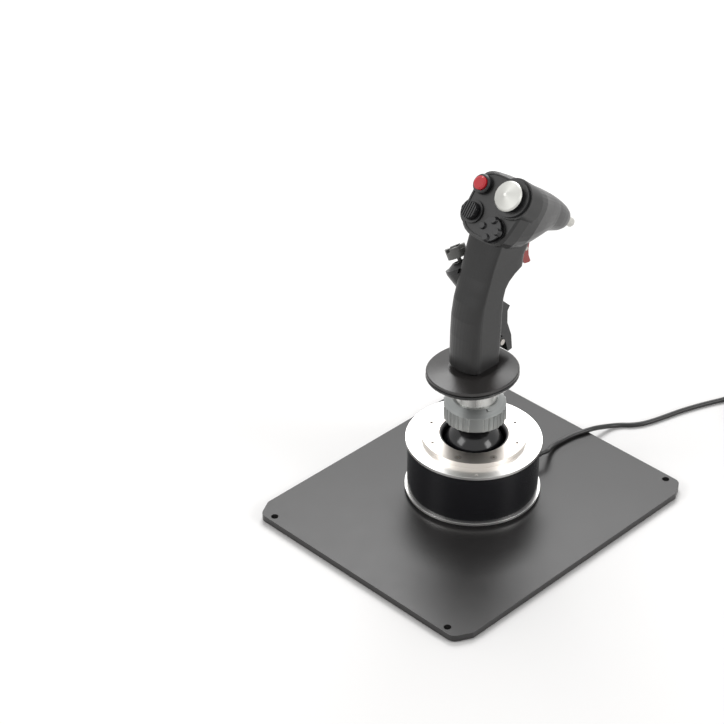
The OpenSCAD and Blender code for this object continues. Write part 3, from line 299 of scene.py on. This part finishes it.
finishes = {name: makeFinish(name, s) for name, s in {
    "plateBlack": {"color": (0.022, 0.021, 0.021), "rough": 0.36, "grain": 0.35, "spread": 0.12,
        "smudge": 0.10, "bump": 0.25, "depth": 0.03, "round": 0.5, "specular": 0.5, "wear": 0.25},
    "footRubber": {"color": (0.02, 0.02, 0.02), "rough": 0.75, "grain": 0.5, "bump": 0.3},
    "canBlack": {"color": (0.010, 0.010, 0.012), "rough": 0.24, "grain": 0.3, "spread": 0.06, "bump": 0.12,
        "depth": 0.02, "round": 0.3, "specular": 0.45},
    "gasketBlack": {"color": (0.012, 0.012, 0.012), "rough": 0.5, "grain": 0.4, "bump": 0.2},
    "ringBright": {"color": (0.84, 0.83, 0.81), "metallic": 1.0, "rough": 0.32, "turned": 0.22,
        "spread": 0.14, "swing": 0.05, "bump": 0.10, "depth": 0.02, "round": 0.35},
    "discSilver": {"color": (0.66, 0.62, 0.58), "metallic": 1.0, "rough": 0.36, "turned": 0.16,
        "spread": 0.14, "swing": 0.06, "bump": 0.12, "depth": 0.02, "round": 0.3},
    "screwSteel": {"color": (0.52, 0.49, 0.46), "metallic": 1.0, "rough": 0.30, "grain": 0.2, "bump": 0.15,
        "round": 0.12},
    "bezelBlack": {"color": (0.012, 0.012, 0.013), "rough": 0.38, "grain": 0.3, "bump": 0.15, "round": 0.2},
    "domeBlack": {"color": (0.008, 0.008, 0.009), "rough": 0.16, "grain": 0.4, "spread": 0.04,
        "bump": 0.06},
    "innerSteel": {"color": (0.45, 0.45, 0.46), "metallic": 1.0, "rough": 0.35, "grain": 0.3, "bump": 0.1},
    "innerBrass": {"color": (0.62, 0.45, 0.16), "metallic": 1.0, "rough": 0.3, "grain": 0.3, "bump": 0.1},
    "boardGreen": {"color": (0.02, 0.16, 0.06), "rough": 0.4, "grain": 0.8, "bump": 0.2},
    "partBlack": {"color": (0.03, 0.03, 0.03), "rough": 0.45, "grain": 0.4, "bump": 0.2},
    "collarGrey": {"color": (0.30, 0.31, 0.305), "metallic": 1.0, "rough": 0.40, "turned": 0.4,
        "spread": 0.1, "swing": 0.12, "bump": 0.2, "depth": 0.03, "round": 0.15, "wear": 0.6,
        "wornColor": (0.62, 0.62, 0.60)},
    "ferruleSilver": {"color": (0.62, 0.62, 0.60), "metallic": 1.0, "rough": 0.28, "turned": 0.3,
        "spread": 0.1, "bump": 0.15, "depth": 0.02},
    "gripBlack": {"color": (0.013, 0.0128, 0.0128), "rough": 0.33, "grain": 0.45, "spread": 0.10,
        "smudge": 0.12, "bump": 0.22, "depth": 0.03, "specular": 0.5, "wear": 0.12, "wornColor": (0.1, 0.1,
        0.1)},
    "faceBlack": {"color": (0.016, 0.0155, 0.0155), "rough": 0.40, "grain": 0.4, "spread": 0.10,
        "smudge": 0.08, "bump": 0.25, "depth": 0.03, "round": 0.3, "wear": 0.2, "wornColor": (0.12, 0.12,
        0.12)},
    "restSatin": {"color": (0.030, 0.028, 0.027), "rough": 0.30, "grain": 0.4, "spread": 0.08,
        "smudge": 0.08, "bump": 0.18, "depth": 0.02, "round": 0.25, "wear": 0.3, "wornColor": (0.2, 0.19,
        0.18)},
    "lipBlack": {"color": (0.010, 0.010, 0.010), "rough": 0.26, "grain": 0.4, "bump": 0.12, "depth": 0.02},
    "hatSilver": {"color": (0.60, 0.60, 0.57), "metallic": 0.85, "rough": 0.42, "grain": 0.25,
        "spread": 0.12, "swing": 0.08, "bump": 0.15, "depth": 0.02},
    "hatBlack": {"color": (0.012, 0.012, 0.013), "rough": 0.34, "grain": 0.3, "bump": 0.2, "depth": 0.02,
        "round": 0.15},
    "hatDark": {"color": (0.10, 0.10, 0.095), "rough": 0.38, "grain": 0.3, "bump": 0.2, "depth": 0.03,
        "round": 0.3, "wear": 0.5, "wornColor": (0.3, 0.3, 0.28)},
    "buttonRed": {"color": (0.52, 0.006, 0.015), "rough": 0.22, "grain": 0.4, "bump": 0.08, "coat": 0.4},
    "buttonPale": {"color": (0.62, 0.61, 0.57), "rough": 0.34, "grain": 0.3, "bump": 0.15, "metallic": 0.3},
    "triggerRed": {"color": (0.30, 0.045, 0.04), "rough": 0.42, "grain": 0.4, "bump": 0.2, "wear": 0.3,
        "wornColor": (0.5, 0.2, 0.18)},
    "leverBlack": {"color": (0.02, 0.02, 0.02), "rough": 0.30, "grain": 0.4, "bump": 0.15},
    "markWhite": {"color": (0.55, 0.55, 0.53), "rough": 0.5, "grain": 0.3, "bump": 0.1},
    "cordRubber": {"color": (0.012, 0.012, 0.012), "rough": 0.34, "grain": 0.6, "spread": 0.08,
        "bump": 0.15, "depth": 0.03},
    "plugBlack": {"color": (0.015, 0.015, 0.015), "rough": 0.42, "grain": 0.5, "bump": 0.25},
    "plugMetal": {"color": (0.62, 0.62, 0.62), "metallic": 1.0, "rough": 0.25, "grain": 0.3, "bump": 0.08},
    "strapWeave": {"color": (0.015, 0.015, 0.016), "rough": 0.85, "grain": 0.7, "spread": 0.2, "bump": 0.7,
        "depth": 0.25},
}.items()}
print("finishes are mixed:", len(finishes))


# ---------- mesh makers, all in millimetres ----------
def addPiece(name, verts, faces, mat, smooth=True, sharp=32):
    mesh = bpy.data.meshes.new(name)
    mesh.from_pydata([(x * mm, y * mm, z * mm) for x, y, z in verts], [], faces)
    mesh.materials.append(finishes[mat])
    piece = bpy.data.objects.new(name, mesh)
    bpy.context.collection.objects.link(piece)
    tidyMesh(piece, smooth, sharp)
    return piece


def tidyMesh(piece, smooth=True, sharp=32):
    bm = bmesh.new()
    bm.from_mesh(piece.data)
    bmesh.ops.remove_doubles(bm, verts=bm.verts, dist=1e-6)
    bmesh.ops.recalc_face_normals(bm, faces=bm.faces)
    limit = math.radians(sharp)
    for face in bm.faces:
        face.smooth = smooth
    for edge in bm.edges:
        edge.smooth = len(edge.link_faces) == 2 and edge.calc_face_angle(0.0) < limit
    bm.to_mesh(piece.data)
    bm.free()


def skinRings(rings):
    n, m = len(rings[0]), len(rings)
    verts = [p for ring in rings for p in ring]
    faces = []
    for j in range(m - 1):
        a, b = j * n, (j + 1) * n
        for k in range(n):
            q = (k + 1) % n
            faces.append((a + k, a + q, b + q, b + k))
    faces.append(tuple(range(n - 1, -1, -1)))
    faces.append(tuple((m - 1) * n + k for k in range(n)))
    return verts, faces


def turnProfile(profile, steps):
    # a closed profile of (radius, height) turned round the vertical
    n = len(profile)
    verts, faces = [], []
    for j in range(steps):
        a = 2 * math.pi * j / steps
        verts += [(r * math.cos(a), r * math.sin(a), z) for r, z in profile]
    for j in range(steps):
        a, b = j * n, ((j + 1) % steps) * n
        for k in range(n):
            q = (k + 1) % n
            faces.append((a + k, b + k, b + q, a + q))
    return verts, faces


def rounded(profile, r, n=4):
    # rounds the corners of a closed outline; r is one radius or a list
    out, m = [], len(profile)
    for i, p in enumerate(profile):
        radius = r[i % len(r)] if isinstance(r, (list, tuple)) else r
        p = Vector(p)
        a, b = Vector(profile[i - 1]) - p, Vector(profile[(i + 1) % m]) - p
        if radius <= 0 or a.length < 1e-6 or b.length < 1e-6:
            out.append(tuple(p))
            continue
        half = a.angle(b) / 2
        reach = min(radius / math.tan(half), 0.49 * a.length, 0.49 * b.length)
        start, end = p + a.normalized() * reach, p + b.normalized() * reach
        for k in range(n + 1):
            t = k / n
            out.append(tuple((1 - t) ** 2 * start + 2 * t * (1 - t) * p + t ** 2 * end))
    return out


def prism(outline, z0, z1, matrix=None, edge=0.0, steps=3):
    # an outline in (u, v) raised from z0 to z1, with its edges rounded by insetting
    def inset(d):
        if d == 0:
            return outline
        n, out = len(outline), []
        for i in range(n):
            p, a, b = Vector(outline[i]), Vector(outline[i - 1]), Vector(outline[(i + 1) % n])
            d1, d2 = (p - a).normalized(), (b - p).normalized()
            n1, n2 = Vector((-d1.y, d1.x)), Vector((-d2.y, d2.x))
            side = (n1 + n2).normalized()
            out.append(tuple(p + side * (d * turnSign / max(0.35, side.dot(n1)))))
        return out
    area = sum(outline[i - 1][0] * outline[i][1] - outline[i][0] * outline[i - 1][1] for i in range(len(outline)))
    turnSign = 1 if area > 0 else -1
    levels = []
    for k in range(steps + 1 if edge else 1):
        a = math.pi / 2 * k / steps if edge else 0
        levels.append((edge * (1 - math.sin(a)), edge * (1 - math.cos(a))))
    rings = [[(x, y, z0 + dz) for x, y in inset(d)] for d, dz in levels]
    rings += [[(x, y, z1 - dz) for x, y in inset(d)] for d, dz in reversed(levels)]
    verts, faces = skinRings(rings)
    if matrix:
        verts = [tuple(matrix @ Vector(v)) for v in verts]
    return verts, faces


def joined(name, lumps, mat, smooth=True, sharp=32):
    verts, faces = [], []
    for v, f in lumps:
        base = len(verts)
        verts += v
        faces += [tuple(i + base for i in face) for face in f]
    return addPiece(name, verts, faces, mat, smooth, sharp)


def applyModifiers(piece):
    graph = bpy.context.evaluated_depsgraph_get()
    mesh = bpy.data.meshes.new_from_object(piece.evaluated_get(graph))
    piece.modifiers.clear()
    old = piece.data
    piece.data = mesh
    bpy.data.meshes.remove(old)


def carve(piece, cutter):
    cut = piece.modifiers.new("carve", "BOOLEAN")
    cut.operation = "DIFFERENCE"
    cut.solver = "MANIFOLD"
    cut.object = cutter
    bpy.context.view_layer.update()
    applyModifiers(piece)
    bpy.data.objects.remove(cutter)


def spline(points, steps):
    # a smooth curve through points of any dimension, with the same number of steps in each span
    out, pts = [], [Vector(p) for p in points]
    for i in range(len(pts) - 1):
        p0, p1, p2, p3 = pts[max(i - 1, 0)], pts[i], pts[i + 1], pts[min(i + 2, len(pts) - 1)]
        t1, t2 = (p2 - p0) * 0.5, (p3 - p1) * 0.5
        for k in range(steps):
            t = k / steps
            out.append((2 * t ** 3 - 3 * t ** 2 + 1) * p1 + (t ** 3 - 2 * t ** 2 + t) * t1 + (3 * t ** 2 - 2 * t ** 3) * p2 + (t ** 3 - t ** 2) * t2)
    out.append(pts[-1])
    return out


def sweptTube(path, radius, sides, lead):
    rings, pts, r = [], [Vector(p) for p in path], radius
    for i, p in enumerate(pts):
        d = (pts[min(i + 1, len(pts) - 1)] - pts[max(i - 1, 0)]).normalized()
        u = d.cross(Vector(lead)).normalized()
        v = u.cross(d)
        rings.append([tuple(p + r * (math.cos(2 * math.pi * k / sides) * u - math.sin(2 * math.pi * k / sides) * v)) for k in range(sides)])
    return skinRings(rings)


def rideAndReplace(piece, body, nodes):
    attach(piece, body)
    if nodes:
        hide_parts(*nodes)
    return piece


# ---------- finishes of the solids that stay as they are ----------
solidFinish = {
    "plateBlack": ["base_plate"], "footRubber": ["rubber_feet"], "canBlack": ["base_can"], "gasketBlack": ["base_gasket"],
    "ringBright": ["ledge_floor", "top_ring"], "discSilver": ["top_disc"],
    "screwSteel": ["top_screws", "plate_screws", "inner_screws", "shell_screws", "lever_pins", "roll_pin"],
    "bezelBlack": ["opening_bezel", "cable_gland", "red_bezel"], "domeBlack": ["dust_dome"],
    "innerSteel": ["gimbal_frame", "centring_spring", "spring_cup", "gimbal_ring", "stick_shaft",
        "sensor_magnet",
                   "trim_rocker", "left_rocker", "lower_rocker", "side_rocker"],
    "innerBrass": ["frame_bushes"], "boardGreen": ["sensor_board", "main_board", "grip_board"],
    "partBlack": ["connector_socket", "connector_plug", "grip_loom", "switches"],
    "collarGrey": ["locking_collar"], "ferruleSilver": ["ferrule", "nose_ring"],
    "gripBlack": ["grip_shell_left", "grip_shell_right"], "faceBlack": ["face_plate"],
    "restSatin": ["hand_rest_plate"], "lipBlack": ["hand_rest_lip"],
    "hatSilver": ["trim_hat"], "hatBlack": ["left_hat", "lower_hat", "trim_base", "left_base",
        "lower_base", "side_base"],
    "hatDark": ["side_hat"], "buttonRed": ["red_button"], "buttonPale": ["nose_button"], "triggerRed": ["trigger"],
    "leverBlack": ["paddle"], "cordRubber": ["cord",
        "cord_coil"], "strapWeave": ["coil_tie"], "plugBlack": ["usb_plug"],
}
for finish, nodes in solidFinish.items():
    for node in nodes:
        for slot in bpy.data.objects[node].material_slots:
            slot.material = finishes[finish]
print("solids have their finishes:", sum(map(len, solidFinish.values())))


# ---------- cord: from the gland over the plate to its coil behind, and the plug ----------
cordSet = {
    "width": 4.0,
    "length": 1.8,  # metres, gland to plug
    "glandEnd": (8.7141, 69.3901, 18),
    "glandAngle": 73,
    "route": [
        (9.3, 77.6, 16.6), (6.8, 82, 14.2), (4.4, 86.5, 12), (2.6, 91.5, 10.2), (1.6, 97.5, 9.1), (1.7,
            104, 8.7),
        (2.4, 112, 8.7), (4.1, 121, 8.7), (6.8, 129.8, 8.7), (8.6, 137.5, 7.9), (9.6, 146, 5.4), (11.6,
            155, 3),
        (15.8, 162.6, 2.1), (21.6, 168.6, 2.1), (26.4, 175.6, 2.1), (29.9, 184, 2.1), (32.6, 193, 2.1),
        (35.2, 203, 2.1), (37.9, 213, 2.1), (41.2, 223, 2.1), (45.3, 234, 2.1), (50, 245, 2.2), (55, 256.5,
            2.4),
        (60.4, 267.8, 2.6),
    ],
    "tail": [(128.6, 246.6, 6.6), (126.8, 240.4, 5.5), (125.8, 234.6, 4.7), (125.5, 229.4, 4.5), (125.5,
        225.4, 4.5)],
    "coil": (100, 268.8, 2.6),
    "inner": 12.6, "pitch": 4.5, "turnsPerLayer": 5, "start": 155.2,
}


def coilPoint(s, turn):
    inward, outward = turn - s["turnsPerLayer"], turn - s["turnsPerLayer"] - 0.5
    outer = s["inner"] + s["pitch"] * s["turnsPerLayer"]
    if inward < 0:
        r = outer - s["pitch"] * turn
    elif outward < 0:
        r = s["inner"] - s["pitch"] * min(inward, -outward)
    else:
        r = s["inner"] + s["pitch"] * outward
    a = math.radians(s["start"] - 360 * turn)
    x, y, z = s["coil"]
    return Vector((x + r * math.cos(a), y + r * math.sin(a), z + s["pitch"] * min(1, max(0, 2 * inward))))


def makeCord(s):
    a = math.radians(s["glandAngle"])
    out = Vector((math.cos(a), math.sin(a), 0)) * s["width"]
    turns = 2 * s["turnsPerLayer"] + 0.5
    coil = [coilPoint(s, i / 32) for i in range(int(turns * 32) + 1)]
    first = coil[0] - s["width"] * (coil[1] - coil[0]).normalized()
    last = coil[-1] + s["width"] * (coil[-1] - coil[-2]).normalized()
    lead = spline([s["glandEnd"], Vector(s["glandEnd"]) + out] + s["route"] + [first], 5)
    tail = spline([last] + s["tail"], 5)
    path = lead + coil + tail
    verts, faces = sweptTube(path, s["width"] / 2, 12, (0, 0, 1))
    return addPiece("cordLine", verts, faces, "cordRubber"), [tuple(p * mm) for p in path]


alongY = Matrix(((1, 0, 0, 0), (0, 0, 1, 0), (0, 1, 0, 0), (0, 0, 0, 1)))


def makePlug(place):
    # drawn along +Y, then turned to point the way the cord runs, towards the user
    def block(hx, hz, y0, y1, r, edge):
        return prism(rounded([(-hx, -hz), (hx, -hz), (hx, hz), (-hx, hz)], r, 4), y0, y1, alongY, edge)
    def placed(lump):
        return [(place[0] + x, place[1] - y, place[2] + z) for x, y, z in lump[0]], lump[1]
    relief = turnProfile([(0.01, 0), (2.6, 0), (2.6, 1.2), (2.3, 1.5), (2.3, 2.2), (2.8, 2.5), (2.8, 3.4),
        (2.5, 3.7), (2.5, 4.4), (3.1, 4.7), (3.3, 7.2), (0.01, 7.2)], 24)
    relief = ([(x, z, y) for x, y, z in relief[0]], relief[1])
    grips = [block(0.45, 2.6, 11 + 2.2 * k, 12 + 2.2 * k, 0.2, 0.1) for k in range(4)]
    sides = [([(x + sx * 7.3, y, z) for x, y, z in v], f) for v, f in grips for sx in (-1, 1)]
    body = joined("plugBody", [placed(relief), placed(block(7.4, 4.0, 6.6, 25.5, 1.6,
        0.7))] + [placed(g) for g in sides], "plugBlack")
    shell = addPiece("plugShell", *placed(block(6.0, 2.25, 24.8, 37.5, 0.5, 0.12)), "plugMetal")
    for x in (-2.6, 2.6):
        hole = addPiece("hole", *placed(block(1.1, 4, 29.5, 31.7, 0.1, 0)), "plugBlack")
        carve(shell, hole)
    mouth = addPiece("mouth", *placed(block(5.6, 1.8, 31.9, 39, 0.3, 0)), "plugBlack")
    carve(shell, mouth)
    tongue = addPiece("plugTongue", *placed(prism([(-5.3, -1.6), (5.3, -1.6), (5.3, 0.1), (-5.3, 0.1)], 31,
        36.8, alongY, 0.05)), "plugBlack")
    return body, shell, tongue


def makeTie(s):
    # a hook-and-loop strap round one side of the coil
    reach = s["pitch"] * s["turnsPerLayer"]
    x0, x1 = s["inner"] - 2.4, s["inner"] + reach + 2.4
    z0, z1 = 0.15, 9.6
    outer = rounded([(x0 - 0.4, z0 - 0.1), (x1 + 0.4, z0 - 0.1), (x1 + 0.4, z1 + 0.4), (x0 - 0.4,
        z1 + 0.4)], 2.0, 5)
    inner = rounded([(x0, z0 + 0.2), (x1, z0 + 0.2), (x1, z1), (x0, z1)], 1.7, 5)
    a = math.radians(250)
    verts, faces, n = [], [], len(outer)
    for y in (-3.8, 3.8):
        for ring in (outer, inner):
            verts += [(s["coil"][0] + x * math.cos(a) - y * math.sin(a),
                s["coil"][1] + x * math.sin(a) + y * math.cos(a), z) for x, z in ring]
    for k in range(n):
        q = (k + 1) % n
        faces += [(k, q, n + q, n + k), (2 * n + k, 3 * n + k, 3 * n + q, 2 * n + q), (k, 2 * n + k,
            2 * n + q, q), (n + k, n + q, 3 * n + q, 3 * n + k)]
    return addPiece("coilStrap", verts, faces, "strapWeave", True, 50)


cordLine, cordPath = makeCord(cordSet)
plugBody, plugShell, plugTongue = makePlug(cordSet["tail"][-1])
coilStrap = makeTie(cordSet)
rideAndReplace(cordLine, "base", ["cord", "cord_coil"])
rideAndReplace(plugBody, "base", ["usb_plug"])
for piece in (plugShell, plugTongue):
    rideAndReplace(piece, "base", ["usb_plug"])
rideAndReplace(coilStrap, "base", ["coil_tie"])
cordLength = sum((Vector(b) - Vector(a)).length for a, b in zip(cordPath, cordPath[1:]))
print("cord, coil and plug are laid out, metres:", round(cordLength, 3))
